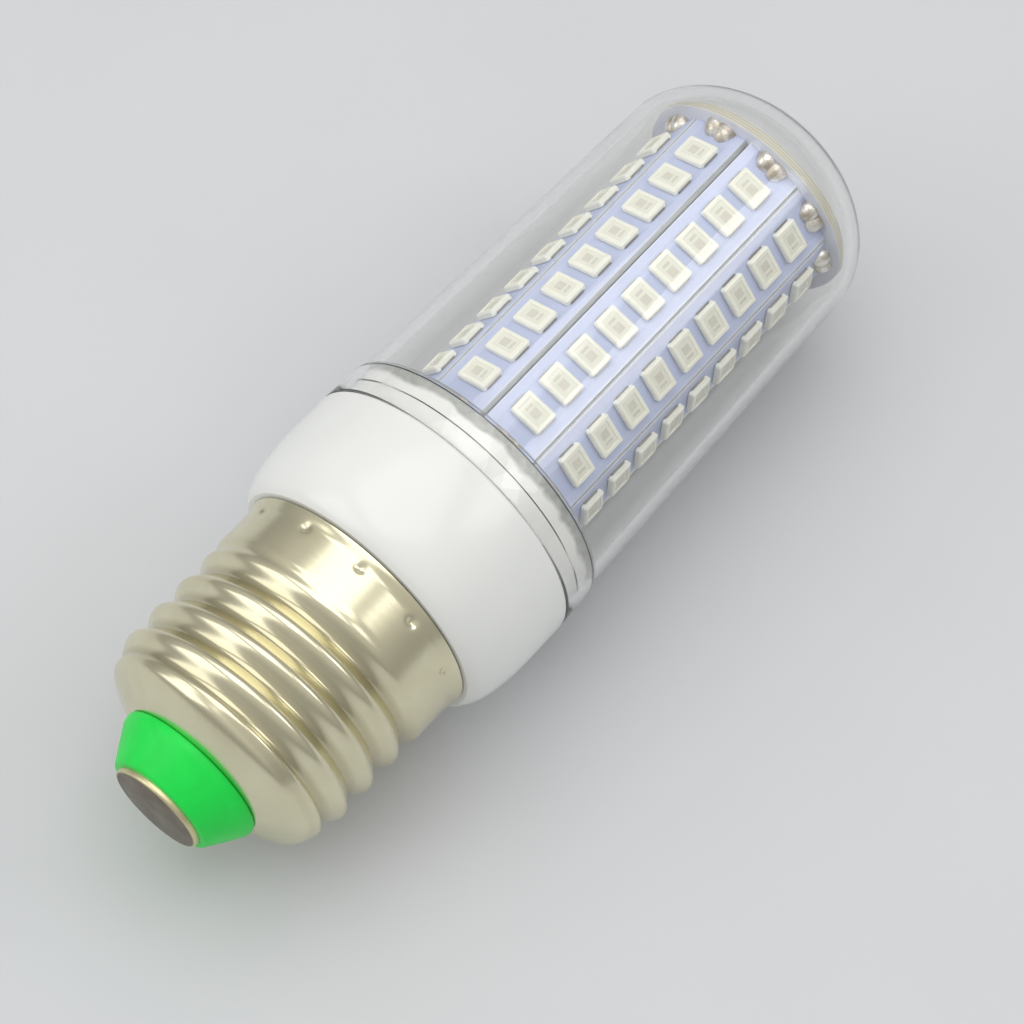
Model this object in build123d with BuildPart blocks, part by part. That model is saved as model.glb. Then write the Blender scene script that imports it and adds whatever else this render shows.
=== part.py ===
"""Screw-cap LED corn bulb: ten strips of diodes under a clear tapering cover.

The bulb lies on its side. Its axis is X, from the cap (-X) to the domed end (+X), and Z is up.
The origin is on the axis, in the plane where the shell's rim meets the white housing.
All sizes are in millimetres. Turned profiles are drawn on the XZ plane, with the radius along Z.
"""

import math
import os

from build123d import *

# Screw shell: rolled sheet metal with the standard 27 mm lamp thread
thread_crest_radius = 13.15
thread_depth = 1.09
thread_pitch = 3.629
thread_length = 14.8
thread_lead_in = 0.47
thread_crest_width = 0.6
thread_bevel_width = 0.45
thread_bevel_depth = 0.3
thread_foot_width = 2.9
skirt_step = 0.05
skirt_length = 5.6
rim_flare = 0.3
rim_length = 1.2
shell_wall = 0.3
shoulder_length = 2.5

# Insulator cone and centre contact
insulator_radius = 7.9
insulator_lip = 0.5
insulator_edge = 0.25
insulator_rim_length = 0.8
insulator_foot_radius = 5.65
insulator_length = 4.5
insulator_flange_radius = 8.8
insulator_flange_height = 1.0
contact_radius = 5.0
contact_thickness = 0.6
contact_edge = 0.4
contact_stem_radius = 0.9
contact_stem_length = 2.4

# Housing: white moulded bowl with a collar for the cover
bowl_radius = 15.9
bowl_length = 12.6
bowl_curve_length = 8.5
bowl_belly_length = 3.6
bowl_rise_length = 0.9
bowl_overhang = 0.2
bowl_lip = 0.35
housing_wall = 1.5
neck_length = 12.0
collar_length = 4.4
collar_step_height = 2.0
collar_step = 0.3
ledge_width = 1.0

# Clear cover: tapering tube with an elliptical end and a stepped skirt
cover_wall = 1.2
cover_skirt_wall = 1.0
cover_skirt_taper = 0.2
cover_edge = 0.2
cover_lip = 0.3
cover_end_radius = 14.35
cover_dome_length = 10.0
dome_lead = 1.4
gate_radius = 0.9
gate_height = 0.25

# Circuit boards
strip_count = 10
strip_length = 42.4
strip_thickness = 0.8
strip_setback = 1.95
strip_gap = 0.1
base_board_thickness = 1.6
top_board_thickness = 1.0

# Diode packages
led_rows = 9
led_first = 5.27
led_last = 4.01
led_width = 3.5
led_length = 2.8
led_height = 0.7
top_led_count = 6
top_led_circle_radius = 6.6

# Solder fillets: two at each end of a strip
solder_leg = 1.6
solder_bulge = 1.1
solder_width = 1.7
solder_spacing = 2.0

# Driver parts under the base board, placed across and up from the axis in shares of the ledge's bore
film_width = 13.0
film_depth = 6.5
film_height = 11.0
film_edge = 0.8
film_place = (0.0, 0.442)
can_radius = 4.0
can_height = 12.0
can_edge = 0.5
can_place = (0.0, -0.486)
rectifier_width = 4.6
rectifier_depth = 3.8
rectifier_height = 2.4
rectifier_place = (0.64, -0.28)
bleed_radius = 1.2
bleed_height = 6.3
bleed_place = (-0.6, -0.194)
fuse_radius = 1.6
fuse_height = 9.0
fuse_place = (-0.519, -0.567)

# Leads
lead_radius = 0.6
lead_run_out = 2.0

# Clearances
sheet_clearance = 0.1
cover_clearance = 0.06
board_clearance = 0.1
top_board_clearance = 0.95
stem_clearance = 0.1
lead_clearance = 0.46

# Radii that follow from the fits
thread_root_radius = thread_crest_radius - thread_depth
thread_bore = thread_root_radius - shell_wall
skirt_radius = thread_crest_radius + skirt_step
skirt_bore = skirt_radius - shell_wall
rim_radius = skirt_radius + rim_flare
rim_bore = rim_radius - shell_wall
insulator_neck_radius = insulator_radius - insulator_lip
mouth_bore = insulator_neck_radius + sheet_clearance
mouth_radius = mouth_bore + shell_wall
stem_bore = contact_stem_radius + stem_clearance
bowl_base_radius = rim_radius + bowl_overhang
bowl_bore = bowl_radius - housing_wall
neck_radius = thread_bore - sheet_clearance
neck_skirt_radius = skirt_bore - sheet_clearance
neck_bore = neck_radius - housing_wall
collar_radius = bowl_radius - cover_skirt_wall - cover_clearance
collar_top_radius = collar_radius - collar_step
recess_radius = collar_radius - housing_wall
ledge_bore = recess_radius - ledge_width
base_board_radius = recess_radius - board_clearance
top_board_radius = cover_end_radius - cover_wall - top_board_clearance
strip_apothem = top_board_radius - strip_setback
lead_offset = neck_bore - lead_radius - lead_clearance
cover_skirt_radius = bowl_radius - cover_skirt_taper
cover_start_radius = cover_skirt_radius - cover_lip
strip_width = 2 * (strip_apothem - strip_thickness) * math.tan(math.pi / strip_count) - strip_gap

# Stations along the axis
skirt_x = -skirt_length
shoulder_x = skirt_x - thread_length
mouth_x = shoulder_x - shoulder_length
foot_x = mouth_x - insulator_length
contact_x = foot_x - contact_thickness
stem_x = foot_x + contact_stem_length
shoulder_slope = (thread_bore - mouth_radius) / shoulder_length
flange_x = mouth_x + shell_wall + (insulator_flange_radius - mouth_radius) / shoulder_slope + sheet_clearance
flange_top_x = flange_x + insulator_flange_height
collar_step_x = bowl_length + collar_step_height
collar_x = bowl_length + collar_length
board_seat_x = collar_x - base_board_thickness
lip_x = collar_x + cover_lip
top_board_x = collar_x + strip_length
dome_x = top_board_x - dome_lead
tip_x = dome_x + cover_dome_length
led_pitch = (strip_length - led_first - led_last) / (led_rows - 1)
led_middle_x = collar_x + (led_first + strip_length - led_last) / 2


def outward(number):
    """Unit vector from the axis towards the middle of a strip; strips 10 and 1 share the top."""
    angle = 2 * math.pi * (number - 0.5) / strip_count
    return Vector(0, math.sin(angle), math.cos(angle))


def strip_plane(number):
    """Plane on a strip's outer face, with its x along the bulb's axis and its z outwards."""
    return Plane(origin=outward(number) * strip_apothem, x_dir=(1, 0, 0), z_dir=outward(number))


def end_plane(station, towards=1):
    """Plane across the axis at a station, facing the domed end (1) or the cap (-1), with its y up."""
    return Plane(origin=(station, 0, 0), x_dir=(0, towards, 0), z_dir=(towards, 0, 0))


def driver_place(shares):
    """Place of a driver part on the base board's underside."""
    return Vector(*shares) * ledge_bore


def solder_fillets(station, along):
    """Bulging fillets in the corners between a board at a station and the strips' faces."""
    with BuildPart() as fillets:
        for number in range(1, strip_count + 1):
            across = Vector(along, 0, 0).cross(outward(number))
            for side in (-1, 1):
                corner = outward(number) * strip_apothem + across * (side * solder_spacing / 2)
                corner_plane = Plane(corner + Vector(station, 0, 0), x_dir=(along, 0, 0), z_dir=across)
                with BuildSketch(corner_plane):
                    with BuildLine():
                        Polyline(
                            (0, 0),
                            (solder_leg, 0),
                            (solder_bulge, solder_bulge),
                            (0, solder_leg),
                            close=True,
                        )
                    make_face()
                extrude(amount=solder_width / 2, both=True)
    return fillets


def save(piece, name):
    """Label a finished piece and write its STEP file."""
    piece.part.label = name
    export_step(piece.part, f"parts/{name}.step")


os.makedirs("parts", exist_ok=True)

# Thread ridge: a bevelled crest on sloping flanks, swept along a helix and rooted in the shell's wall,
# then cut down to a ramp where it runs out at the shoulder
ridge_x = shoulder_x - thread_lead_in
ridge_length = thread_lead_in + thread_length + thread_pitch / 2
run_out_x = shoulder_x + thread_pitch
crest_half = thread_crest_width / 2
bevel_half = crest_half + thread_bevel_width
foot_half = thread_foot_width / 2
ridge_root = -shell_wall / 2

with BuildPart() as ridge:
    with BuildLine() as ridge_path:
        Helix(
            pitch=thread_pitch,
            height=ridge_length,
            radius=thread_root_radius,
            center=(ridge_x, 0, 0),
            direction=(1, 0, 0),
        )
    with BuildSketch(Plane(origin=ridge_path.line @ 0, x_dir=(1, 0, 0), z_dir=(0, -1, 0))):
        with BuildLine():
            Polyline(
                (-foot_half, ridge_root),
                (-bevel_half, thread_depth - thread_bevel_depth),
                (-crest_half, thread_depth),
                (crest_half, thread_depth),
                (bevel_half, thread_depth - thread_bevel_depth),
                (foot_half, ridge_root),
                close=True,
            )
        make_face()
    sweep(path=ridge_path.line, is_frenet=True)
    with BuildSketch(Plane.XZ):
        with BuildLine():
            Polyline(
                (shoulder_x, 0),
                (shoulder_x, thread_root_radius),
                (run_out_x, rim_radius),
                (0, rim_radius),
                (0, 0),
                close=True,
            )
        make_face()
    revolve(axis=Axis.X, mode=Mode.INTERSECT)

# Screw shell: turned body and ridge, bored to a thin wall
with BuildPart() as screw_shell:
    with BuildSketch(Plane.XZ):
        with BuildLine():
            shoulder = Spline(
                (mouth_x, mouth_radius),
                (shoulder_x, thread_root_radius),
                tangents=((0.6, 1), (1, 0.5)),
            )
            Polyline(
                shoulder @ 1,
                (skirt_x, thread_root_radius),
                (skirt_x, skirt_radius),
                (-rim_length, skirt_radius),
                (0, rim_radius),
                (0, 0),
                (mouth_x, 0),
                shoulder @ 0,
            )
        make_face()
    revolve(axis=Axis.X)
    add(ridge.part)
    with BuildSketch(Plane.XZ):
        with BuildLine():
            Polyline(
                (mouth_x, 0),
                (mouth_x, mouth_bore),
                (mouth_x + shell_wall, mouth_radius),
                (shoulder_x + shell_wall, thread_bore),
                (skirt_x + shell_wall, thread_bore),
                (skirt_x + shell_wall, skirt_bore),
                (-rim_length, skirt_bore),
                (0, rim_bore),
                (0, 0),
                (mouth_x, 0),
            )
        make_face()
    revolve(axis=Axis.X, mode=Mode.SUBTRACT)
save(screw_shell, "screw_shell")

# Insulator: moulded cone with a bevelled rim, a neck through the shell's mouth and an inner flange
with BuildPart() as insulator:
    with BuildSketch(Plane.XZ):
        with BuildLine():
            Polyline(
                (foot_x, stem_bore),
                (foot_x, insulator_foot_radius),
                (mouth_x - insulator_rim_length, insulator_radius),
                (mouth_x - insulator_edge, insulator_radius),
                (mouth_x, insulator_radius - insulator_edge),
                (mouth_x, insulator_neck_radius),
                (flange_x, insulator_neck_radius),
                (flange_x, insulator_flange_radius),
                (flange_top_x, insulator_flange_radius),
                (flange_top_x, stem_bore),
                close=True,
            )
        make_face()
    revolve(axis=Axis.X)
save(insulator, "insulator")

# Centre contact: bevelled disc with a stem pressed into the insulator
with BuildPart() as centre_contact:
    with BuildSketch(Plane.XZ):
        with BuildLine():
            Polyline(
                (contact_x, 0),
                (contact_x, contact_radius - contact_edge),
                (contact_x + contact_edge, contact_radius),
                (foot_x, contact_radius),
                (foot_x, contact_stem_radius),
                (stem_x, contact_stem_radius),
                (stem_x, 0),
                close=True,
            )
        make_face()
    revolve(axis=Axis.X)
save(centre_contact, "centre_contact")

# Housing: hollow bowl with a stepped neck inside the shell and a stepped collar inside the cover
with BuildPart() as housing:
    with BuildSketch(Plane.XZ):
        with BuildLine():
            bowl = Bezier(
                (0, bowl_base_radius),
                (bowl_rise_length, (bowl_base_radius + 2 * bowl_radius) / 3),
                (bowl_belly_length, bowl_radius),
                (bowl_curve_length, bowl_radius),
            )
            Polyline(
                bowl @ 1,
                (bowl_length - bowl_lip, bowl_radius),
                (bowl_length, bowl_radius - bowl_lip),
                (bowl_length, collar_radius),
                (collar_step_x, collar_radius),
                (collar_step_x, collar_top_radius),
                (collar_x, collar_top_radius),
                (collar_x, recess_radius),
                (board_seat_x, recess_radius),
                (board_seat_x, ledge_bore),
                (bowl_length, ledge_bore),
                (bowl_length - (bowl_bore - ledge_bore), bowl_bore),
                (housing_wall + (bowl_bore - neck_bore), bowl_bore),
                (housing_wall, neck_bore),
                (-neck_length, neck_bore),
                (-neck_length, neck_radius),
                (skirt_x + shell_wall + sheet_clearance, neck_radius),
                (skirt_x + shell_wall + sheet_clearance, neck_skirt_radius),
                (0, neck_skirt_radius),
                bowl @ 0,
            )
        make_face()
    revolve(axis=Axis.X)
save(housing, "housing")

# Clear cover: stepped skirt over the collar, tapering tube, elliptical end with a moulding gate
with BuildPart() as clear_cover:
    with BuildSketch(Plane.XZ):
        with BuildLine():
            EllipticalCenterArc((dome_x, 0), cover_dome_length, cover_end_radius)
            EllipticalCenterArc((dome_x, 0), cover_dome_length - cover_wall, cover_end_radius - cover_wall)
            Line((tip_x - cover_wall, 0), (tip_x, 0))
            Polyline(
                (dome_x, cover_end_radius),
                (lip_x, cover_start_radius),
                (collar_x, cover_skirt_radius),
                (bowl_length + cover_edge, bowl_radius),
                (bowl_length, bowl_radius - cover_edge),
                (bowl_length, collar_radius + cover_clearance),
                (collar_step_x + cover_clearance, collar_radius + cover_clearance),
                (collar_step_x + cover_clearance, collar_top_radius + cover_clearance),
                (collar_x + cover_clearance, collar_top_radius + cover_clearance),
                (collar_x + cover_clearance, cover_start_radius - cover_wall),
                (lip_x, cover_start_radius - cover_wall),
                (dome_x, cover_end_radius - cover_wall),
            )
        make_face()
    revolve(axis=Axis.X)
    with BuildSketch(end_plane(tip_x - cover_wall / 2)):
        Circle(gate_radius)
    extrude(amount=cover_wall / 2 + gate_height)
save(clear_cover, "clear_cover")

# Base board: round board on the housing's ledge
with BuildPart() as base_board:
    with BuildSketch(end_plane(board_seat_x)):
        Circle(base_board_radius)
    extrude(amount=base_board_thickness)
save(base_board, "base_board")

# Top board: round board across the ends of the strips
with BuildPart() as top_board:
    with BuildSketch(end_plane(top_board_x)):
        Circle(top_board_radius)
    extrude(amount=top_board_thickness)
save(top_board, "top_board")

# Strips and their diode packages
for number in range(1, strip_count + 1):
    with BuildPart() as led_board:
        with BuildSketch(strip_plane(number)):
            with Locations((collar_x + strip_length / 2, 0)):
                Rectangle(strip_length, strip_width)
        extrude(amount=-strip_thickness)
    save(led_board, f"led_board_{number:02d}")

    with BuildPart() as leds:
        with BuildSketch(strip_plane(number)):
            with Locations((led_middle_x, 0)):
                with GridLocations(led_pitch, led_pitch, led_rows, 1):
                    Rectangle(led_length, led_width)
        extrude(amount=led_height)
    save(leds, f"leds_{number:02d}")

# Diode packages in a ring on the end face of the top board
with BuildPart() as top_leds:
    with BuildSketch(end_plane(top_board_x + top_board_thickness)):
        with PolarLocations(top_led_circle_radius, top_led_count):
            Rectangle(led_width, led_length)
    extrude(amount=led_height)
save(top_leds, "top_leds")

# Solder fillets at both ends of the strips
save(solder_fillets(top_board_x, -1), "top_solder_joints")
save(solder_fillets(collar_x, 1), "base_solder_joints")

# Driver parts, standing on the cap side of the base board
with BuildPart() as film_capacitor:
    with BuildSketch(end_plane(board_seat_x, -1)):
        with Locations(driver_place(film_place)):
            RectangleRounded(film_width, film_depth, film_edge)
    extrude(amount=film_height)
save(film_capacitor, "film_capacitor")

with BuildPart() as smoothing_capacitor:
    with BuildSketch(end_plane(board_seat_x, -1)):
        with Locations(driver_place(can_place)):
            Circle(can_radius)
    extrude(amount=can_height)
    chamfer(smoothing_capacitor.edges().group_by(Axis.X)[0], can_edge)
save(smoothing_capacitor, "smoothing_capacitor")

with BuildPart() as bridge_rectifier:
    with BuildSketch(end_plane(board_seat_x, -1)):
        with Locations(driver_place(rectifier_place)):
            Rectangle(rectifier_width, rectifier_depth)
    extrude(amount=rectifier_height)
save(bridge_rectifier, "bridge_rectifier")

with BuildPart() as bleed_resistor:
    with BuildSketch(end_plane(board_seat_x, -1)):
        with Locations(driver_place(bleed_place)):
            Circle(bleed_radius)
    extrude(amount=bleed_height)
save(bleed_resistor, "bleed_resistor")

with BuildPart() as fuse_resistor:
    with BuildSketch(end_plane(board_seat_x, -1)):
        with Locations(driver_place(fuse_place)):
            Circle(fuse_radius)
    extrude(amount=fuse_height)
save(fuse_resistor, "fuse_resistor")

# Leads: one straight down the axis to the contact's stem, one bent out past the neck to the shell
with BuildPart() as live_lead:
    with BuildSketch(end_plane(board_seat_x, -1)):
        Circle(lead_radius)
    extrude(amount=board_seat_x - stem_x)
save(live_lead, "live_lead")

neutral_turn_x = -neck_length - lead_run_out
with BuildPart() as neutral_lead:
    with BuildLine() as neutral_path:
        Polyline(
            (board_seat_x, lead_offset, 0),
            (neutral_turn_x, lead_offset, 0),
            (neutral_turn_x, thread_bore - sheet_clearance, 0),
        )
    with BuildSketch(Plane(origin=neutral_path.line @ 0, z_dir=neutral_path.line % 0)):
        Circle(lead_radius)
    sweep(path=neutral_path.line, transition=Transition.RIGHT)
save(neutral_lead, "neutral_lead")
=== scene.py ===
"""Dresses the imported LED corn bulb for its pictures, in the order in which the bulb is put together.

The bulb lies on its side with its axis along X, from the cap (-X) to the domed end (+X). Meshes are drawn
in millimetres and scaled to metres when they become pieces.
"""
import math

import bmesh
import bpy
from mathutils import Matrix, Vector
from mathutils.geometry import interpolate_bezier


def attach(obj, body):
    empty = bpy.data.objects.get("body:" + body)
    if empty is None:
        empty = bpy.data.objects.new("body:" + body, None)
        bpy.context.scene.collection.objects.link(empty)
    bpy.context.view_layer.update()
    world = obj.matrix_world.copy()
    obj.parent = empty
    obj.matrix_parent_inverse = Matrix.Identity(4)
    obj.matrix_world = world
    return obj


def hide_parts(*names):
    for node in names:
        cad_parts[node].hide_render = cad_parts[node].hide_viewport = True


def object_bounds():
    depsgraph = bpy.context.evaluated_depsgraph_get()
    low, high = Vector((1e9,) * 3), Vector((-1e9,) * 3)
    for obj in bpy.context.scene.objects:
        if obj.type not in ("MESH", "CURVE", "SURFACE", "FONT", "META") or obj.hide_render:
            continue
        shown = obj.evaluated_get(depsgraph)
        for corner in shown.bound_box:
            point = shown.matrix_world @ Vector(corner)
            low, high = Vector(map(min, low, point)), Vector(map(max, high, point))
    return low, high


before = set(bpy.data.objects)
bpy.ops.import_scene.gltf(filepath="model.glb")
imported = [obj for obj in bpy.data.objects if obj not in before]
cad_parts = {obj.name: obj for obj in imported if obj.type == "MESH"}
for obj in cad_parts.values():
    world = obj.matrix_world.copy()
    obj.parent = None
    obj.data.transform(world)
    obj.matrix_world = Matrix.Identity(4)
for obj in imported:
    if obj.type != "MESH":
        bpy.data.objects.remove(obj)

cad_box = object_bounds()

# White housing
# The bulb's body is a bowl of white polycarbonate, injection moulded in one piece with a neck that
# goes up inside the screw shell and a stepped collar that the clear cover is glued over.
MM = 0.001
FULL_TURN = 2 * math.pi
MERGE_DISTANCE = 1e-4
CORNER_SEGMENTS = 4

rim_gap = 0.18
bowl_start_radius = 13.95
bowl_radius = 15.9
bowl_handles = (1.0, 15.2), (3.6, bowl_radius)
bowl_full = 8.5
bowl_points = 14
bowl_end = 12.6
bowl_end_round = 0.35
collar_radius = 14.84
collar_step = 14.6
collar_step_round = 0.12
collar_top_radius = 14.54
collar_end = 17.0
collar_end_round = 0.15
collar_bore = 13.34
board_seat = 15.4
ledge_bore = 12.34
hollow_end = 10.54
hollow_radius = 14.4
hollow_start = 5.84
funnel_start = 1.5
neck_end = -12.0
neck_radius = 11.66
neck_bore = 10.16
neck_skirt = -5.2
neck_skirt_radius = 12.8
glue_start = 16.1
glue_inner_radius = 13.5
mould_steps = 160


def curve(start, first_handle, second_handle, end, points):
    """Points of a Bezier curve between two (x, radius) places."""
    controls = [Vector((x, r, 0)) for x, r in (start, first_handle, second_handle, end)]
    return [(p.x, p.y) for p in interpolate_bezier(*controls, points)]


def turned(profile, steps):
    """Spins a closed profile about the bulb's axis. Its points are (x, radius) or (x, radius, rounding)."""
    mesh = bmesh.new()
    corners = [mesh.verts.new((point[0], 0, point[1])) for point in profile]
    for corner, following in zip(corners, corners[1:] + corners[:1]):
        if corner.co.z > 0 or following.co.z > 0:
            mesh.edges.new((corner, following))
    for rounding in sorted({point[2] for point in profile if len(point) > 2}):
        rounded = [v for v, point in zip(corners, profile) if point[2:] == (rounding,)]
        bmesh.ops.bevel(
            mesh, geom=rounded, offset=rounding, offset_type="OFFSET", affect="VERTICES",
            segments=CORNER_SEGMENTS, profile=0.5, material=-1,
        )
    bmesh.ops.spin(
        mesh, geom=mesh.verts[:] + mesh.edges[:], cent=(0, 0, 0), axis=(1, 0, 0),
        angle=FULL_TURN, steps=steps, use_merge=True,
    )
    bmesh.ops.remove_doubles(mesh, verts=mesh.verts, dist=MERGE_DISTANCE)
    bmesh.ops.recalc_face_normals(mesh, faces=mesh.faces)
    return mesh


def as_piece(mesh, name, materials, nodes, sharp=35):
    """Makes a mesh in millimetres a piece of the bulb that stands for the named CAD nodes."""
    bmesh.ops.scale(mesh, vec=(MM, MM, MM), verts=mesh.verts)
    for face in mesh.faces:
        face.smooth = True
    for edge in mesh.edges:
        edge.smooth = len(edge.link_faces) != 2 or edge.calc_face_angle() < math.radians(sharp)
    data = bpy.data.meshes.new(name)
    mesh.to_mesh(data)
    mesh.free()
    for material in materials:
        data.materials.append(material)
    piece = bpy.data.objects.new(name, data)
    bpy.context.scene.collection.objects.link(piece)
    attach(piece, "root")
    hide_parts(*nodes)


def linear(code):
    """Linear RGBA of an sRGB hex colour."""
    channels = [int(code[i:i + 2], 16) / 255 for i in (1, 3, 5)]
    return [c / 12.92 if c <= 0.04045 else ((c + 0.055) / 1.055) ** 2.4 for c in channels] + [1.0]


def add(tree, kind, inputs, **settings):
    """Adds a node with its settings, and sets or links its inputs."""
    node = tree.nodes.new(kind)
    for name, value in settings.items():
        setattr(node, name, value)
    for name, value in inputs.items():
        if isinstance(value, bpy.types.NodeSocket):
            tree.links.new(value, node.inputs[name])
        else:
            node.inputs[name].default_value = value
    return node


def start_material(name, **constants):
    """A new material with constant values on its Principled sockets, its tree, shader and coordinates."""
    material = bpy.data.materials.new(name)
    material.use_nodes = True
    tree = material.node_tree
    shader = tree.nodes["Principled BSDF"]
    for socket, value in constants.items():
        shader.inputs[socket.replace("_", " ")].default_value = value
    place = tree.nodes.new("ShaderNodeTexCoord")
    return material, tree, shader, place


# Moulded polycarbonate: white pigment, a gloss off the polished tool with faint flow marks a few
# millimetres wide, and a very fine orange peel.
flow_mark = 9 * MM
peel_grain = 1.2 * MM
white_shade, white_flow = linear("#F1F2F0"), linear("#EAECEA")
moulded_white, tree, shader, place = start_material("moulded_white_polycarbonate", IOR=1.58)
flow = add(
    tree, "ShaderNodeTexNoise", {"Vector": place.outputs["Object"], "Scale": 1 / flow_mark, "Detail": 1},
)
tint = add(tree, "ShaderNodeMix", {0: flow.outputs["Fac"], 6: white_shade, 7: white_flow}, data_type="RGBA")
gloss = add(tree, "ShaderNodeMapRange", {"Value": flow.outputs["Fac"], "To Min": 0.19, "To Max": 0.265})
peel = add(tree, "ShaderNodeTexNoise", {"Vector": place.outputs["Object"], "Scale": 1 / peel_grain})
relief = add(tree, "ShaderNodeBump", {"Height": peel.outputs["Fac"], "Strength": 0.02, "Distance": 0.1 * MM})
tree.links.new(tint.outputs[2], shader.inputs["Base Color"])
tree.links.new(gloss.outputs[0], shader.inputs["Roughness"])
tree.links.new(relief.outputs[0], shader.inputs["Normal"])

# Glue film: grey, cloudy cement between the end of the collar and the cover, with fine bubbles. It has
# crept along the white collar unevenly, by half a millimetre more or less every few millimetres.
bubble = 0.7 * MM
creep_span = 3 * MM
creep_length = 2.0
creep_edge = 0.25
creep_middle = glue_start + creep_length / 2
glue_film, tree, shader, place = start_material("cloudy_glue_film", Roughness=0.5)
bubbles = add(
    tree, "ShaderNodeTexNoise", {"Vector": place.outputs["Object"], "Scale": 1 / bubble, "Detail": 3},
)
cement = add(
    tree, "ShaderNodeMix", {0: bubbles.outputs["Fac"], 6: linear("#8E908D"), 7: linear("#C6C8C5")},
    data_type="RGBA",
)
creep = add(
    tree, "ShaderNodeTexNoise", {"Vector": place.outputs["Object"], "Scale": 1 / creep_span, "Detail": 2},
)
along = add(tree, "ShaderNodeSeparateXYZ", {0: place.outputs["Object"]})
reach = add(
    tree, "ShaderNodeMath", {0: creep.outputs["Fac"], 1: creep_length * MM, 2: along.outputs["X"]},
    operation="MULTIPLY_ADD",
)
amount = add(
    tree, "ShaderNodeMapRange", {
        "Value": reach.outputs[0],
        "From Min": (creep_middle - creep_edge) * MM,
        "From Max": (creep_middle + creep_edge) * MM,
    },
)
shade = add(
    tree, "ShaderNodeMix", {0: amount.outputs[0], 6: white_shade, 7: cement.outputs[2]}, data_type="RGBA",
)
tree.links.new(shade.outputs[2], shader.inputs["Base Color"])

bowl = curve((rim_gap, bowl_start_radius), *bowl_handles, (bowl_full, bowl_radius), bowl_points)
housing = turned(
    bowl + [
        (bowl_end, bowl_radius, bowl_end_round),
        (bowl_end, collar_radius),
        (collar_step, collar_radius, collar_step_round),
        (collar_step, collar_top_radius),
        (collar_end, collar_top_radius, collar_end_round),
        (collar_end, collar_bore),
        (board_seat, collar_bore),
        (board_seat, ledge_bore),
        (bowl_end, ledge_bore),
        (hollow_end, hollow_radius),
        (hollow_start, hollow_radius),
        (funnel_start, neck_bore),
        (neck_end, neck_bore),
        (neck_end, neck_radius),
        (neck_skirt, neck_radius),
        (neck_skirt, neck_skirt_radius),
        (rim_gap, neck_skirt_radius),
    ],
    mould_steps,
)
for face in housing.faces:
    middle = face.calc_center_median()
    face.material_index = int(middle.x > collar_step and middle.yz.length > glue_inner_radius)
as_piece(housing, "white_housing", [moulded_white, glue_film], ["housing"])

# Circuit boards
# Ten narrow strips stand in a ring on a round base board and carry a second round board across
# their ends. All are glass-epoxy laminate, the strips under a pale lavender solder mask and the round
# boards under a white one.
strip_count = 10
strip_length = 42.4
strip_thickness = 0.8
strip_apothem = 10.25
strip_width = 6.04
seam_trim = 0.02
fold_web = 0.35
fold_reach = 0.12
fold_clearance = 0.005
board_edge = 0.06
wall_cosine = 0.9
copper_start, copper_full = 1.9, 2.1
bare_start, bare_full = 2.84, 2.98
top_board_start = 59.4
top_board_radius = 12.2
top_board_thickness = 1.0
top_board_round = 0.08
rim_cosine = 0.5
board_steps = 128


def strip_turn(number):
    """Turns the top of the bulb, where z is out of a strip and x along it, to a strip's own place."""
    return Matrix.Rotation(-FULL_TURN * (number - 0.5) / strip_count, 4, "X")


# Solder mask on a strip: satin, pale lavender, a little paler over the copper that runs along both
# sides, and chalky where the cutter left the edge bare. UV is in millimetres, along and across.
mask_mottle = 2.5 * MM
copper_height = 0.05 * MM
mask_shade, mask_copper, cut_edge = linear("#C4CDEC"), linear("#CBD3F0"), linear("#D8DDEF")
lavender_mask, tree, shader, place = start_material(
    "lavender_solder_mask", Roughness=0.55, IOR=1.52, Specular_IOR_Level=0.2,
)
across = add(tree, "ShaderNodeSeparateXYZ", {0: place.outputs["UV"]})
side = add(tree, "ShaderNodeMath", {0: across.outputs["Y"]}, operation="ABSOLUTE")
copper = add(
    tree, "ShaderNodeMapRange", {"Value": side.outputs[0], "From Min": copper_start, "From Max": copper_full},
    interpolation_type="SMOOTHSTEP",
)
edge = add(
    tree, "ShaderNodeMapRange", {"Value": side.outputs[0], "From Min": bare_start, "From Max": bare_full},
)
mottle = add(
    tree, "ShaderNodeTexNoise", {"Vector": place.outputs["Object"], "Scale": 1 / mask_mottle, "Detail": 2},
)
base = add(tree, "ShaderNodeMix", {0: copper.outputs[0], 6: mask_shade, 7: mask_copper}, data_type="RGBA")
bare = add(tree, "ShaderNodeMix", {0: edge.outputs[0], 6: base.outputs[2], 7: cut_edge}, data_type="RGBA")
shift = add(tree, "ShaderNodeMapRange", {"Value": mottle.outputs["Fac"], "To Min": 0.94, "To Max": 1.05})
shade = add(
    tree, "ShaderNodeMix", {0: 1.0, 6: bare.outputs[2], 7: shift.outputs[0]},
    data_type="RGBA", blend_type="MULTIPLY",
)
relief = add(
    tree, "ShaderNodeBump", {"Height": copper.outputs[0], "Strength": 0.3, "Distance": copper_height},
)
tree.links.new(shade.outputs[2], shader.inputs["Base Color"])
tree.links.new(relief.outputs[0], shader.inputs["Normal"])

# Sawn laminate: bare grey glass and resin where the board was scored and cut from its panel.
fibre_bundle = 0.6 * MM
sawn_laminate, tree, shader, place = start_material("sawn_laminate", Roughness=0.7, IOR=1.52)
fibres = add(
    tree, "ShaderNodeTexNoise", {"Vector": place.outputs["Object"], "Scale": 1 / fibre_bundle, "Detail": 2},
)
shade = add(
    tree, "ShaderNodeMix", {0: fibres.outputs["Fac"], 6: linear("#C2C5C8"), 7: linear("#D8DBDD")},
    data_type="RGBA",
)
tree.links.new(shade.outputs[2], shader.inputs["Base Color"])

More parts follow.
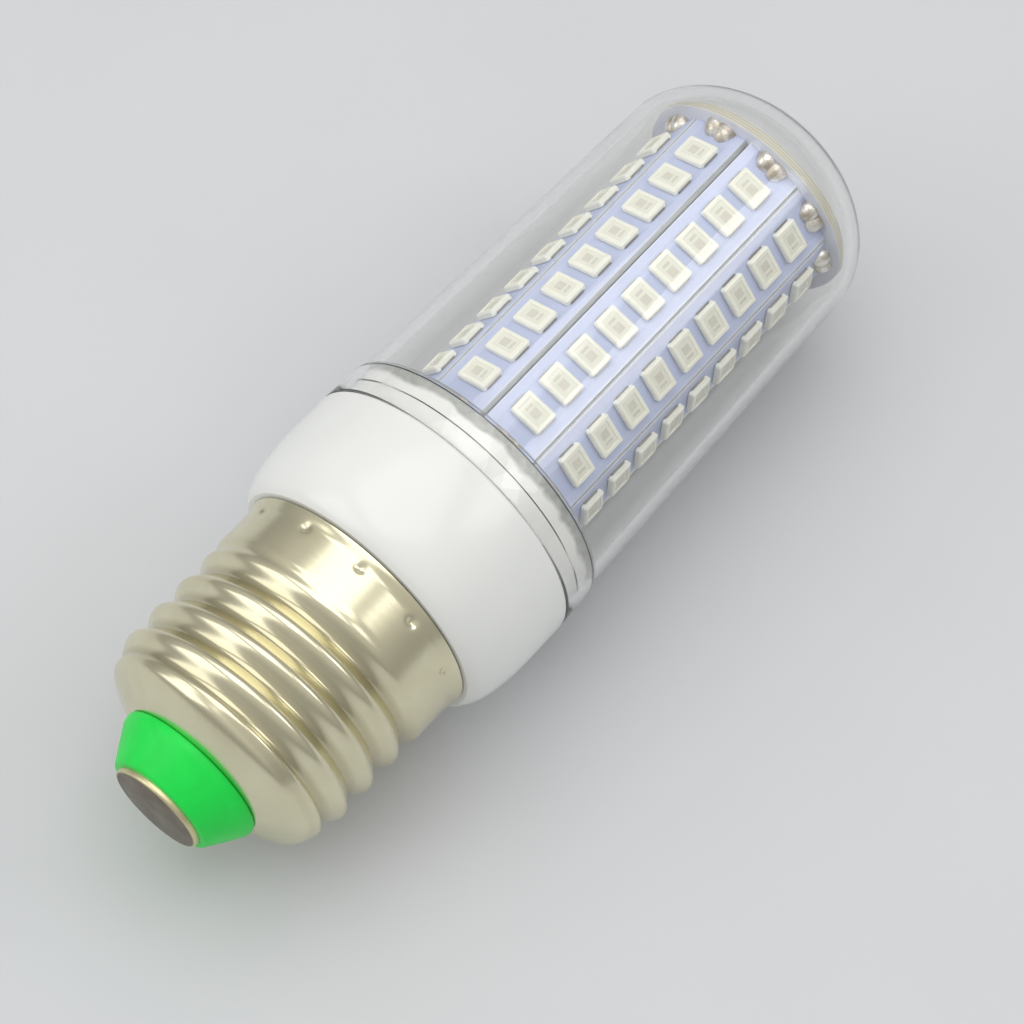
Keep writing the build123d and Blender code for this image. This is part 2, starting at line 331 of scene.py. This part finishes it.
# The ring is one scored board folded round. A web is left under each score, out to the plane half-way to
# the next strip, above it the edges stand a fine groove apart, and there is one open seam, between the
# first strip and the last.
seam_sides = {1: -1, strip_count: 1}
web_top = fold_web - strip_thickness / 2
strip_middle = strip_apothem - strip_thickness / 2
fold_slope = math.tan(math.pi / strip_count)
for number in range(1, strip_count + 1):
    board = bmesh.new()
    bmesh.ops.create_cube(board, size=1)
    bmesh.ops.scale(board, vec=(strip_length, strip_width, strip_thickness), verts=board.verts)
    bmesh.ops.bisect_plane(
        board, geom=board.verts[:] + board.edges[:] + board.faces[:],
        plane_co=(0, 0, web_top), plane_no=(0, 0, 1),
    )
    for vertex in board.verts:
        if vertex.co.y * seam_sides.get(number, 0) > 0:
            continue
        half_way = (strip_middle + vertex.co.z) * fold_slope - fold_clearance
        in_web = vertex.co.z < web_top + fold_clearance
        vertex.co.y = math.copysign(half_way if in_web else strip_width / 2 + fold_reach, vertex.co.y)
    outline = [
        edge for edge in board.edges
        if min(vertex.co.z for vertex in edge.verts) > strip_thickness / 2 - board_edge
    ]
    bmesh.ops.bevel(
        board, geom=outline, offset=board_edge, offset_type="OFFSET", affect="EDGES",
        segments=1, profile=0.5, material=-1,
    )
    layout = board.loops.layers.uv.new("board")
    for face in board.faces:
        face.material_index = int(abs(face.normal.y) > wall_cosine)
        for corner in face.loops:
            corner[layout].uv = corner.vert.co.xy
    for vertex in board.verts:
        if number in seam_sides and vertex.co.y * seam_sides[number] > 0:
            vertex.co.y -= seam_sides[number] * seam_trim
    on_ring = Matrix.Translation((collar_end + strip_length / 2, 0, strip_middle))
    bmesh.ops.transform(board, matrix=strip_turn(number) @ on_ring, verts=board.verts)
    finishes = [lavender_mask, sawn_laminate]
    as_piece(board, f"strip_board_{number:02d}", finishes, [f"led_board_{number:02d}"])

# Round boards: white mask on the faces, cream laminate where the rim is routed, with glass cloth
# layers showing as fine bands across the rim. A wave of scale 1 repeats about every 0.3 units.
white_mottle = 3 * MM
white_mask, tree, shader, place = start_material("white_solder_mask", Roughness=0.4, IOR=1.52)
mottle = add(
    tree, "ShaderNodeTexNoise", {"Vector": place.outputs["Object"], "Scale": 1 / white_mottle, "Detail": 2},
)
shade = add(
    tree, "ShaderNodeMix", {0: mottle.outputs["Fac"], 6: linear("#E4E6EE"), 7: linear("#D6D9E8")},
    data_type="RGBA",
)
tree.links.new(shade.outputs[2], shader.inputs["Base Color"])

wave_repeat = 0.3
cloth_layer = 0.25 * MM
cream_laminate, tree, shader, place = start_material("cream_laminate_edge", Roughness=0.55, IOR=1.52)
layers = add(
    tree, "ShaderNodeTexWave",
    {"Vector": place.outputs["Object"], "Scale": wave_repeat / cloth_layer, "Distortion": 1.0},
    bands_direction="X",
)
shade = add(
    tree, "ShaderNodeMix", {0: layers.outputs["Fac"], 6: linear("#B9B7A8"), 7: linear("#DAD7C8")},
    data_type="RGBA",
)
tree.links.new(shade.outputs[2], shader.inputs["Base Color"])

top_board_face = top_board_start + top_board_thickness
top_board = turned(
    [
        (top_board_start, 0),
        (top_board_start, top_board_radius, top_board_round),
        (top_board_face, top_board_radius, top_board_round),
        (top_board_face, 0),
    ],
    board_steps,
)
for face in top_board.faces:
    face.material_index = int(abs(face.normal.x) < rim_cosine)
as_piece(top_board, "round_top_board", [white_mask, cream_laminate], ["top_board"])
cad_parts["base_board"].material_slots[0].material = white_mask

# Diode packages
# Each is a 3.5 by 2.8 mm block of cream moulding compound with a shallow window over the two pads of
# its lead frame, whose tabs show at both ends. Nine are reflowed on each strip, the other way round on
# every second one because they are one chain, and six on the top board.
led_rows = 9
led_pitch = 4.14
led_first = 5.27
led_width = 3.5
led_length = 2.8
led_height = 0.7
led_standoff = 0.08
led_bevel = 0.14
window_margin = 0.66
window_slope = 0.05
window_depth = 0.08
window_floor = led_height - window_depth
tab_size = (1.9, 0.3, 0.22)
tab_tuck = 0.05
tab_middle = led_width / 2 - tab_tuck
lead_pad_size = (0.96, 0.3, 0.05)
lead_pad_middle = 0.66
chip_pad_size = (0.96, 0.92, 0.05)
chip_pad_middle = -0.24
led_sharp = 20
top_led_count = 6
top_led_circle = 6.6

# Moulding compound: cream, satin, with a fine filler speckle.
filler_grain = 0.5 * MM
cream_compound, tree, shader, place = start_material("cream_moulding_compound", Roughness=0.42, IOR=1.5)
speckle = add(
    tree, "ShaderNodeTexNoise", {"Vector": place.outputs["Object"], "Scale": 1 / filler_grain, "Detail": 2},
)
shade = add(
    tree, "ShaderNodeMix", {0: speckle.outputs["Fac"], 6: linear("#FCFCF1"), 7: linear("#F6F6E9")},
    data_type="RGBA",
)
tree.links.new(shade.outputs[2], shader.inputs["Base Color"])

# Silicone window: clear gel over a pale grey-green floor, wet-looking.
gel_cloud = 1.5 * MM
window_gel, tree, shader, place = start_material("silicone_window", Roughness=0.14, IOR=1.41)
depth = add(tree, "ShaderNodeTexNoise", {"Vector": place.outputs["Object"], "Scale": 1 / gel_cloud})
shade = add(
    tree, "ShaderNodeMix", {0: depth.outputs["Fac"], 6: linear("#F2F2E6"), 7: linear("#EBEBDE")},
    data_type="RGBA",
)
tree.links.new(shade.outputs[2], shader.inputs["Base Color"])

# Pads under the gel: silvered copper, a shade greyer than the compound and blotched by the chip's glue.
glue_blotch = 0.5 * MM
gel_pad, tree, shader, place = start_material("silvered_pad_under_gel", Roughness=0.2)
blotch = add(tree, "ShaderNodeTexNoise", {"Vector": place.outputs["Object"], "Scale": 1 / glue_blotch})
shade = add(
    tree, "ShaderNodeMix", {0: blotch.outputs["Fac"], 6: linear("#E6E3D7"), 7: linear("#D6D3C6")},
    data_type="RGBA",
)
tree.links.new(shade.outputs[2], shader.inputs["Base Color"])

# Tinned lead frame: soft grey metal, slightly dull from reflow.
tin_grain = 0.3 * MM
tinned_frame, tree, shader, place = start_material("tinned_lead_frame", Metallic=1.0)
dull = add(
    tree, "ShaderNodeTexNoise", {"Vector": place.outputs["Object"], "Scale": 1 / tin_grain, "Detail": 2},
)
gloss = add(tree, "ShaderNodeMapRange", {"Value": dull.outputs["Fac"], "To Min": 0.25, "To Max": 0.5})
shade = add(
    tree, "ShaderNodeMix", {0: dull.outputs["Fac"], 6: linear("#B4B1A6"), 7: linear("#96938A")},
    data_type="RGBA",
)
tree.links.new(shade.outputs[2], shader.inputs["Base Color"])
tree.links.new(gloss.outputs[0], shader.inputs["Roughness"])

diode_materials = [cream_compound, window_gel, gel_pad, tinned_frame]
in_gel, in_pad, in_tin = 1, 2, 3
diode = bmesh.new()
bmesh.ops.create_cube(diode, size=1)
bmesh.ops.scale(diode, vec=(led_length, led_width, led_height - led_standoff), verts=diode.verts)
bmesh.ops.translate(diode, vec=(0, 0, (led_height + led_standoff) / 2), verts=diode.verts)
upright = [e for e in diode.edges if abs(e.verts[0].co.z - e.verts[1].co.z) > led_height / 2]
top = max(diode.faces, key=lambda face: face.calc_center_median().z)
rim = list(top.edges)
bmesh.ops.inset_individual(diode, faces=[top], thickness=window_margin)
bmesh.ops.inset_individual(diode, faces=[top], thickness=window_slope, depth=-window_depth)
top.material_index = in_gel
bmesh.ops.bevel(
    diode, geom=upright + rim, offset=led_bevel, offset_type="OFFSET", affect="EDGES",
    segments=1, profile=0.5, material=-1,
)
diode_blocks = [
    (tab_size, (0, tab_middle, tab_size[2] / 2), in_tin),
    (tab_size, (0, -tab_middle, tab_size[2] / 2), in_tin),
    (lead_pad_size, (0, lead_pad_middle, window_floor), in_pad),
    (chip_pad_size, (0, chip_pad_middle, window_floor), in_pad),
]
for size, where, material in diode_blocks:
    block = bmesh.ops.create_cube(diode, size=1)["verts"]
    bmesh.ops.scale(diode, vec=size, verts=block)
    bmesh.ops.translate(diode, vec=where, verts=block)
    for face in {face for vertex in block for face in vertex.link_faces}:
        face.material_index = material
diode_mesh = bpy.data.meshes.new("diode")
diode.to_mesh(diode_mesh)
diode.free()


def placed_diodes(places):
    """One mesh with a diode at each place, given as matrices."""
    packages = bmesh.new()
    for where in places:
        before = len(packages.verts)
        packages.from_mesh(diode_mesh)
        bmesh.ops.transform(packages, matrix=where, verts=packages.verts[before:])
    return packages


stations = [collar_end + led_first + row * led_pitch for row in range(led_rows)]
for number in range(1, strip_count + 1):
    way_round = Matrix.Rotation(math.pi * (number % 2), 4, "Z")
    places = [strip_turn(number) @ Matrix.Translation((x, 0, strip_apothem)) @ way_round for x in stations]
    as_piece(
        placed_diodes(places), f"strip_diodes_{number:02d}", diode_materials, [f"leds_{number:02d}"],
        led_sharp,
    )

end_face = Matrix.Translation((top_board_face, 0, 0)) @ Matrix.Rotation(math.pi / 2, 4, "Y")
off_centre = Matrix.Translation((0, top_led_circle, 0))
ring_places = [
    end_face @ Matrix.Rotation(FULL_TURN * index / top_led_count, 4, "Z") @ off_centre
    for index in range(top_led_count)
]
as_piece(placed_diodes(ring_places), "end_diodes", diode_materials, ["top_leds"], led_sharp)

# Solder joints
# Two lumps of hand-soldered tin, run together at each end of a strip, tie its pads to the round board.
# Brown flux is left in the hollows.
joint_spacing = 1.3
joint_width = 2.3
joint_leg = 1.6
joint_rise = 0.7
joint_clearance = 0.02
joint_unevenness = 0.12
swell_by_strip, swell_by_side = 2.3, 1.7
joint_sharp = 60

# Tin solder: silver-grey where it froze clean, brown and duller under flux residue.
flux_patch = 0.9 * MM
flux_solder, tree, shader, place = start_material("fluxed_tin_solder", Metallic=0.8)
residue = add(
    tree, "ShaderNodeTexNoise", {"Vector": place.outputs["Object"], "Scale": 1 / flux_patch, "Detail": 3},
)
amount = add(
    tree, "ShaderNodeMapRange", {"Value": residue.outputs["Fac"], "From Min": 0.4, "From Max": 0.65},
)
shade = add(
    tree, "ShaderNodeMix", {0: amount.outputs[0], 6: linear("#ECE9E2"), 7: linear("#BBAD9C")},
    data_type="RGBA",
)
gloss = add(tree, "ShaderNodeMapRange", {"Value": amount.outputs[0], "To Min": 0.22, "To Max": 0.42})
tree.links.new(shade.outputs[2], shader.inputs["Base Color"])
tree.links.new(gloss.outputs[0], shader.inputs["Roughness"])


def soldered(station, along):
    """Lumps in the corners between the strips' faces and a round board at a station."""
    joints = bmesh.new()
    for number in range(1, strip_count + 1):
        for side in (-1, 1):
            swell = 1 + joint_unevenness * math.sin(swell_by_strip * number + swell_by_side * side)
            lump_size = (joint_leg * swell, joint_width / 2, joint_leg / swell * joint_rise)
            lump = bmesh.ops.create_icosphere(joints, subdivisions=3, radius=1)["verts"]
            bmesh.ops.scale(joints, vec=lump_size, verts=lump)
            faces = list({face for vertex in lump for face in vertex.link_faces})
            for plane in ((along, 0, 0), (0, 0, 1)):
                edges = list({edge for face in faces for edge in face.edges})
                points = list({vertex for face in faces for vertex in face.verts})
                cut = bmesh.ops.bisect_plane(
                    joints, geom=points + edges + faces, plane_co=Vector(plane) * joint_clearance,
                    plane_no=plane, clear_inner=True,
                )
                rim_edges = [item for item in cut["geom_cut"] if isinstance(item, bmesh.types.BMEdge)]
                filled = bmesh.ops.holes_fill(joints, edges=rim_edges)["faces"]
                faces = [item for item in cut["geom"] if isinstance(item, bmesh.types.BMFace)] + filled
            points = list({vertex for face in faces for vertex in face.verts})
            where = Matrix.Translation((station, side * joint_spacing / 2, strip_apothem))
            bmesh.ops.transform(joints, matrix=strip_turn(number) @ where, verts=points)
    return joints


top_joints = soldered(top_board_start, -1)
as_piece(top_joints, "top_solder", [flux_solder], ["top_solder_joints"], joint_sharp)
base_joints = soldered(collar_end, 1)
as_piece(base_joints, "base_solder", [flux_solder], ["base_solder_joints"], joint_sharp)

# Driver
# A capacitive dropper on the underside of the base board, shut in by the housing: film capacitor,
# smoothing capacitor, rectifier, two resistors, and a lead each to the contact and the shell.


def driver_finish(name, first, second, size, roughness):
    """Mottled finish for a component that the housing hides. The mottle's size is in millimetres."""
    material, tree, shader, place = start_material(name, Roughness=roughness)
    mottle = add(tree, "ShaderNodeTexNoise", {"Vector": place.outputs["Object"], "Scale": 1 / (size * MM)})
    shade = add(
        tree, "ShaderNodeMix", {0: mottle.outputs["Fac"], 6: linear(first), 7: linear(second)},
        data_type="RGBA",
    )
    tree.links.new(shade.outputs[2], shader.inputs["Base Color"])
    return material


driver_finishes = {
    "film_capacitor": driver_finish("dipped_epoxy", "#A3201C", "#8C1815", 2.0, 0.25),
    "smoothing_capacitor": driver_finish("shrink_sleeve", "#1A1C24", "#242734", 3.0, 0.3),
    "bridge_rectifier": driver_finish("black_compound", "#151515", "#202020", 0.4, 0.6),
    "bleed_resistor": driver_finish("tan_lacquer", "#C8AC7A", "#B89A68", 1.0, 0.4),
    "fuse_resistor": driver_finish("green_cement", "#5F8F6E", "#52805F", 0.8, 0.7),
    "live_lead": driver_finish("red_sleeving", "#B51A16", "#9F1512", 1.5, 0.45),
    "neutral_lead": driver_finish("white_sleeving", "#E6E6E0", "#D8D8D2", 1.5, 0.45),
}
for node, finish in driver_finishes.items():
    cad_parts[node].material_slots[0].material = finish

# Clear cover
# A tapering tube with an elliptical end, moulded in clear polycarbonate. Its stepped skirt is glued
# over the housing's collar, and the nub at the tip is what is left of the moulding gate.
ROUND_HANDLE = 0.5523

cover_wall = 1.2
cover_room = 0.06
skirt_foot_round = 0.2
skirt_end_radius = 15.7
skirt_end_round = 0.15
tube_start = 17.3
tube_start_radius = 15.4
tube_end = 58.0
tube_end_radius = 14.35
dome_length = 10.0
dome_points = 28
gate_radius = 0.9
gate_height = 0.25
gate_round = 0.12

# Clear polycarbonate: water-clear and glossy, its surface slightly wavy over a few millimetres from the
# moulding. Lamps shine straight through it onto the diodes.
mould_wave = 6 * MM
clear_plastic, tree, shader, place = start_material(
    "clear_polycarbonate", Base_Color=linear("#FBFBFA"), Transmission_Weight=1.0, Roughness=0.02, IOR=1.5,
)
wave = add(
    tree, "ShaderNodeTexNoise", {"Vector": place.outputs["Object"], "Scale": 1 / mould_wave, "Detail": 1},
)
relief = add(tree, "ShaderNodeBump", {"Height": wave.outputs["Fac"], "Strength": 0.06, "Distance": 0.2 * MM})
tree.links.new(relief.outputs[0], shader.inputs["Normal"])
ray = tree.nodes.new("ShaderNodeLightPath")
open_shade = add(tree, "ShaderNodeBsdfTransparent", {"Color": linear("#FBFBFA")})
cast = add(
    tree, "ShaderNodeMixShader",
    {0: ray.outputs["Is Shadow Ray"], 1: shader.outputs[0], 2: open_shade.outputs[0]},
)
tree.links.new(cast.outputs[0], tree.nodes["Material Output"].inputs["Surface"])


def dome(length, radius):
    """Quarter of an ellipse, from the tube's end to the axis."""
    return curve(
        (tube_end, radius),
        (tube_end + ROUND_HANDLE * length, radius),
        (tube_end + length, ROUND_HANDLE * radius),
        (tube_end + length, 0),
        dome_points,
    )


outer_dome = dome(dome_length, tube_end_radius)
inner_dome = dome(dome_length - cover_wall, tube_end_radius - cover_wall)
gate_start = next(x for x, r in outer_dome if r < gate_radius)
gate_end = tube_end + dome_length + gate_height
gated_dome = [point for point in outer_dome if point[1] > gate_radius] + [
    (gate_start, gate_radius),
    (gate_end, gate_radius, gate_round),
    (gate_end, 0),
]
cover = turned(
    gated_dome + inner_dome[::-1] + [
        (tube_start, tube_start_radius - cover_wall),
        (collar_end + cover_room, tube_start_radius - cover_wall),
        (collar_end + cover_room, collar_top_radius + cover_room),
        (collar_step + cover_room, collar_top_radius + cover_room),
        (collar_step + cover_room, collar_radius + cover_room),
        (bowl_end, collar_radius + cover_room),
        (bowl_end, bowl_radius, skirt_foot_round),
        (collar_end, skirt_end_radius, skirt_end_round),
        (tube_start, tube_start_radius),
    ],
    mould_steps,
)
as_piece(cover, "clear_tube_cover", [clear_plastic], ["clear_cover"])

# Screw shell
# The cap is drawn from thin steel, rolled to the 27 mm lamp thread and nickel plated. A ring of punch
# marks in its smooth skirt pins it to the housing's neck.
crest_radius = 13.15
thread_depth = 1.09
root_radius = crest_radius - thread_depth
thread_pitch = 3.629
thread_phase = 0.9
run_out, run_in = 1.2, 0.5
shell_wall = 0.3
skirt_radius = 13.2
skirt_start = -5.6
rim_flare = 0.3
rim_length = 1.2
shoulder_start = -20.4
shoulder_fullness = 1.6
shoulder_rise = 0.4
shoulder_blend = 0.1
mouth = -22.9
mouth_radius = 7.8
punch_count = 12
punch_angle = math.radians(-12)
punch_x = -1.5
punch_depth = 0.3
punch_length, punch_width = 0.4, 0.46
punch_span = 0.15
shell_rows = 120
shell_steps = 300
blank_radius = 10
shell_sharp = 50


def smooth_step(value, low, high):
    """0 below low, 1 above high, and an even S between them."""
    share = min(max((value - low) / (high - low), 0), 1)
    return share * share * (3 - 2 * share)


def rolled_radius(x, angle):
    """Outer radius of the rolled shell at a station and an angle, turning from +Z towards -Y."""
    turn = (x - thread_phase) / thread_pitch - angle / FULL_TURN
    into_skirt = smooth_step(x, skirt_start - run_out, skirt_start + run_in)
    wave = 0.5 + 0.5 * math.cos(FULL_TURN * turn)
    body = crest_radius - thread_depth * (1 - wave) * (1 - into_skirt)
    body += (skirt_radius - crest_radius) * into_skirt
    share = min((x - mouth) / (shoulder_start - mouth), 1)
    shoulder = mouth_radius + (root_radius - mouth_radius) * (1 - (1 - share) ** shoulder_fullness)
    shoulder += shoulder_rise * max(x - shoulder_start, 0)
    body -= shoulder_blend * math.log(1 + math.exp(-(shoulder - body) / shoulder_blend))
    body += rim_flare * smooth_step(x, -rim_length, 0)
    for number in range(punch_count):
        around = angle + punch_angle - FULL_TURN * number / punch_count
        around = (around + math.pi) % FULL_TURN - math.pi
        if abs(around) < punch_span:
            reach = math.hypot((x - punch_x) / punch_length, around * skirt_radius / punch_width)
            body -= punch_depth * math.exp(-reach ** 2)
    return body


# Nickel plate: warm silver over rolled steel, bright, with rolling lines about 0.4 mm apart drawn round
# the shell, faint handling marks that vary the gloss, and painted shade in the thread's root.
handling_mark = 3 * MM
rolling_line = 0.4 * MM
line_draw = 0.08
root_shade_height = 0.4
root_shade_fade = 1.0
nickel_plate, tree, shader, place = start_material("rolled_nickel_plate", Metallic=1.0)
marks = add(
    tree, "ShaderNodeTexNoise", {"Vector": place.outputs["Object"], "Scale": 1 / handling_mark, "Detail": 4},
)
plate = add(
    tree, "ShaderNodeMix", {0: marks.outputs["Fac"], 6: linear("#EBE6C9"), 7: linear("#D8D1B3")},
    data_type="RGBA",
)
off_axis = add(tree, "ShaderNodeMapping", {"Vector": place.outputs["Object"], "Scale": (0, 1, 1)})
reach = add(tree, "ShaderNodeVectorMath", {0: off_axis.outputs[0]}, operation="LENGTH")
# Painted shade: the plate turns duller and darker towards the thread's root, from just past the shoulder.
in_root = add(
    tree, "ShaderNodeMapRange", {
        "Value": reach.outputs["Value"],
        "From Min": (root_radius + root_shade_height) * MM,
        "From Max": root_radius * MM,
    },
)
along = add(tree, "ShaderNodeSeparateXYZ", {0: place.outputs["Object"]})
past_shoulder = add(
    tree, "ShaderNodeMapRange", {
        "Value": along.outputs["X"],
        "From Min": shoulder_start * MM,
        "From Max": (shoulder_start + root_shade_fade) * MM,
    },
)
amount = add(
    tree, "ShaderNodeMath", {0: in_root.outputs[0], 1: past_shoulder.outputs[0]}, operation="MULTIPLY",
)
shade = add(
    tree, "ShaderNodeMix", {0: amount.outputs[0], 6: plate.outputs[2], 7: linear("#C6BFA0")},
    data_type="RGBA",
)
gloss = add(tree, "ShaderNodeMapRange", {"Value": marks.outputs["Fac"], "To Min": 0.16, "To Max": 0.27})
drawn = add(
    tree, "ShaderNodeMapping", {"Vector": place.outputs["Object"], "Scale": (1, line_draw, line_draw)},
)
lines = add(tree, "ShaderNodeTexNoise", {"Vector": drawn.outputs[0], "Scale": 1 / rolling_line, "Detail": 2})
relief = add(
    tree, "ShaderNodeBump", {"Height": lines.outputs["Fac"], "Strength": 0.08, "Distance": 0.05 * MM},
)
tree.links.new(shade.outputs[2], shader.inputs["Base Color"])
tree.links.new(gloss.outputs[0], shader.inputs["Roughness"])
tree.links.new(relief.outputs[0], shader.inputs["Normal"])

shell = bmesh.new()
ends = [shell.verts.new((x, 0, blank_radius)) for x in (mouth, 0)]
blank = shell.edges.new(ends)
bmesh.ops.subdivide_edges(shell, edges=[blank], cuts=shell_rows)
bmesh.ops.spin(
    shell, geom=shell.verts[:] + shell.edges[:], cent=(0, 0, 0), axis=(1, 0, 0),
    angle=FULL_TURN, steps=shell_steps, use_merge=True,
)
bmesh.ops.remove_doubles(shell, verts=shell.verts, dist=MERGE_DISTANCE)
for vertex in shell.verts:
    angle = math.atan2(-vertex.co.y, vertex.co.z)
    radius = rolled_radius(vertex.co.x, angle)
    vertex.co.yz = (-radius * math.sin(angle), radius * math.cos(angle))
bmesh.ops.recalc_face_normals(shell, faces=shell.faces)
bmesh.ops.solidify(shell, geom=shell.faces[:], thickness=shell_wall)
bmesh.ops.recalc_face_normals(shell, faces=shell.faces)
as_piece(shell, "rolled_screw_shell", [nickel_plate], ["screw_shell"], shell_sharp)

# Insulator
# A truncated cone of bright green polyester, moulded into the shell's mouth. It holds the centre
# contact away from the shell.
insulator_radius = 7.9
insulator_band = 0.8
insulator_band_round = 0.4
insulator_edge_round = 0.25
insulator_foot_radius = 5.65
insulator_neck = 7.4
flange_start = -21.86
flange_end = -20.86
flange_radius = 8.8
foot = -27.4
stem_bore = 1.0
insulator_steps = 128

# Polyester moulding compound: saturated green, satin, with faint swirls of pigment.
pigment_swirl = 3 * MM
green_polyester, tree, shader, place = start_material("green_polyester", IOR=1.55, Specular_IOR_Level=0.25)
swirl = add(
    tree, "ShaderNodeTexNoise",
    {"Vector": place.outputs["Object"], "Scale": 1 / pigment_swirl, "Distortion": 0.8},
)
shade = add(
    tree, "ShaderNodeMix", {0: swirl.outputs["Fac"], 6: linear("#24EE58"), 7: linear("#1ADB4C")},
    data_type="RGBA",
)
gloss = add(tree, "ShaderNodeMapRange", {"Value": swirl.outputs["Fac"], "To Min": 0.3, "To Max": 0.45})
tree.links.new(shade.outputs[2], shader.inputs["Base Color"])
tree.links.new(gloss.outputs[0], shader.inputs["Roughness"])

insulator = turned(
    [
        (foot, stem_bore),
        (foot, insulator_foot_radius, insulator_edge_round),
        (mouth - insulator_band, insulator_radius, insulator_band_round),
        (mouth, insulator_radius, insulator_edge_round),
        (mouth, insulator_neck),
        (flange_start, insulator_neck),
        (flange_start, flange_radius),
        (flange_end, flange_radius),
        (flange_end, stem_bore),
    ],
    insulator_steps,
)
as_piece(insulator, "green_insulator", [green_polyester], ["insulator"])

# Centre contact
# A disc of nickel-plated brass with a rounded edge, pressed into the insulator by its stem. The lamp
# holder's middle spring bears on its face.
contact_radius = 5.0
contact_round = 0.3
contact_face = -28.0
stem_radius = 0.9
stem_end = -25.0
contact_steps = 96

# Plated brass: the face is a dull, mottled dark brown that is painted shade,
# and the edge has a painted highlight.
face_mottle_size = 2 * MM
highlight_inset = 0.1
contact_brass_painted_shade, tree, shader, place = start_material("plated_brass_painted_shade_and_highlight", Metallic=1.0)
face_mottle = add(
    tree, "ShaderNodeTexNoise", {"Vector": place.outputs["Object"], "Scale": 1 / face_mottle_size, "Detail": 4},
)
# Painted shade: the face is mixed from two dark browns.
brass = add(
    tree, "ShaderNodeMix", {0: face_mottle.outputs["Fac"], 6: linear("#857969"), 7: linear("#574C3E")},
    data_type="RGBA",
)
off_axis = add(tree, "ShaderNodeMapping", {"Vector": place.outputs["Object"], "Scale": (0, 1, 1)})
reach = add(tree, "ShaderNodeVectorMath", {0: off_axis.outputs[0]}, operation="LENGTH")
# Painted highlight: pale brass towards the rim of the disc.
rim_highlight = add(
    tree, "ShaderNodeMapRange", {
        "Value": reach.outputs["Value"],
        "From Min": (contact_radius - contact_round) * MM,
        "From Max": (contact_radius - highlight_inset) * MM,
    },
)
shade = add(
    tree, "ShaderNodeMix", {0: rim_highlight.outputs[0], 6: brass.outputs[2], 7: linear("#DDD3A9")},
    data_type="RGBA",
)
gloss = add(tree, "ShaderNodeMapRange", {"Value": face_mottle.outputs["Fac"], "To Min": 0.28, "To Max": 0.45})
tree.links.new(shade.outputs[2], shader.inputs["Base Color"])
tree.links.new(gloss.outputs[0], shader.inputs["Roughness"])

contact = turned(
    [
        (contact_face, 0),
        (contact_face, contact_radius, contact_round),
        (foot, contact_radius),
        (foot, stem_radius),
        (stem_end, stem_radius),
        (stem_end, 0),
    ],
    contact_steps,
)
as_piece(contact, "contact_disc", [contact_brass_painted_shade], ["centre_contact"])

# Floor and light
# A pale matt floor under the bulb, a soft lamp above it, a weaker one beside the domed end that draws
# a streak along the cover, a fill behind the cap, and a room that is brighter overhead.
floor_level = cad_box[0].z
floor_reach = 3
floor_mesh = bmesh.new()
bmesh.ops.create_grid(floor_mesh, x_segments=1, y_segments=1, size=floor_reach)
bmesh.ops.translate(floor_mesh, vec=(0, 0, floor_level), verts=floor_mesh.verts)
floor_data = bpy.data.meshes.new("floor")
floor_mesh.to_mesh(floor_data)
floor_mesh.free()
floor = bpy.data.objects.new("floor", floor_data)
bpy.context.scene.collection.objects.link(floor)

# Floor paper: matt, pale grey, with a soft unevenness a few centimetres wide.
paper_cloud = 40 * MM
floor_paper, tree, shader, place = start_material("floor_paper", Roughness=0.6)
cloud = add(tree, "ShaderNodeTexNoise", {"Vector": place.outputs["Object"], "Scale": 1 / paper_cloud})
shade = add(
    tree, "ShaderNodeMix", {0: cloud.outputs["Fac"], 6: linear("#D6D8DB"), 7: linear("#CFD1D5")},
    data_type="RGBA",
)
tree.links.new(shade.outputs[2], shader.inputs["Base Color"])
floor_data.materials.append(floor_paper)


def soft_lamp(name, place, target, size, watts):
    """Square area lamp that faces a target."""
    lamp = bpy.data.lights.new(name, "AREA")
    lamp.size = size
    lamp.energy = watts
    holder = bpy.data.objects.new(name, lamp)
    holder.location = place
    holder.rotation_euler = (Vector(target) - Vector(place)).to_track_quat("-Z", "Y").to_euler()
    bpy.context.scene.collection.objects.link(holder)


lamp_aim = (0.02, 0, 0)
soft_lamp("key", (0.06, 0.04, 0.57), lamp_aim, size=0.54, watts=1.16)
soft_lamp("side", (0.33, -0.36, 0.42), lamp_aim, size=0.26, watts=0.4)
soft_lamp("fill", (-0.38, 0.36, 0.36), lamp_aim, size=0.45, watts=0.75)

world = bpy.data.worlds.new("studio")
bpy.context.scene.world = world
world.use_nodes = True
tree = world.node_tree
direction = tree.nodes.new("ShaderNodeTexCoord")
height = add(tree, "ShaderNodeSeparateXYZ", {0: direction.outputs["Generated"]})
rise = add(
    tree, "ShaderNodeMapRange", {"Value": height.outputs["Z"], "From Min": 0.0, "From Max": 0.9},
    interpolation_type="SMOOTHSTEP",
)
room = add(
    tree, "ShaderNodeMix", {0: rise.outputs[0], 6: linear("#A4A4A2"), 7: linear("#D7D6D3")}, data_type="RGBA",
)
tree.links.new(room.outputs[2], tree.nodes["Background"].inputs["Color"])
tree.nodes["Background"].inputs["Strength"].default_value = 0.98

# Camera
# It looks down on the bulb from over the cap, as in the photograph.
camera_data = bpy.data.cameras.new("camera")
camera_data.sensor_width = 36.0
camera_data.lens = 114.384
camera_data.clip_start = 0.01
camera = bpy.data.objects.new("camera", camera_data)
camera.location = (-0.09508, -0.09987, 0.27918)
camera_aim = Vector((0.0171, -0.00517, 0.0))
camera.rotation_euler = (camera_aim - camera.location).to_track_quat("-Z", "Y").to_euler()
bpy.context.scene.collection.objects.link(camera)
bpy.context.scene.camera = camera
bpy.context.scene.view_settings.view_transform = "Standard"
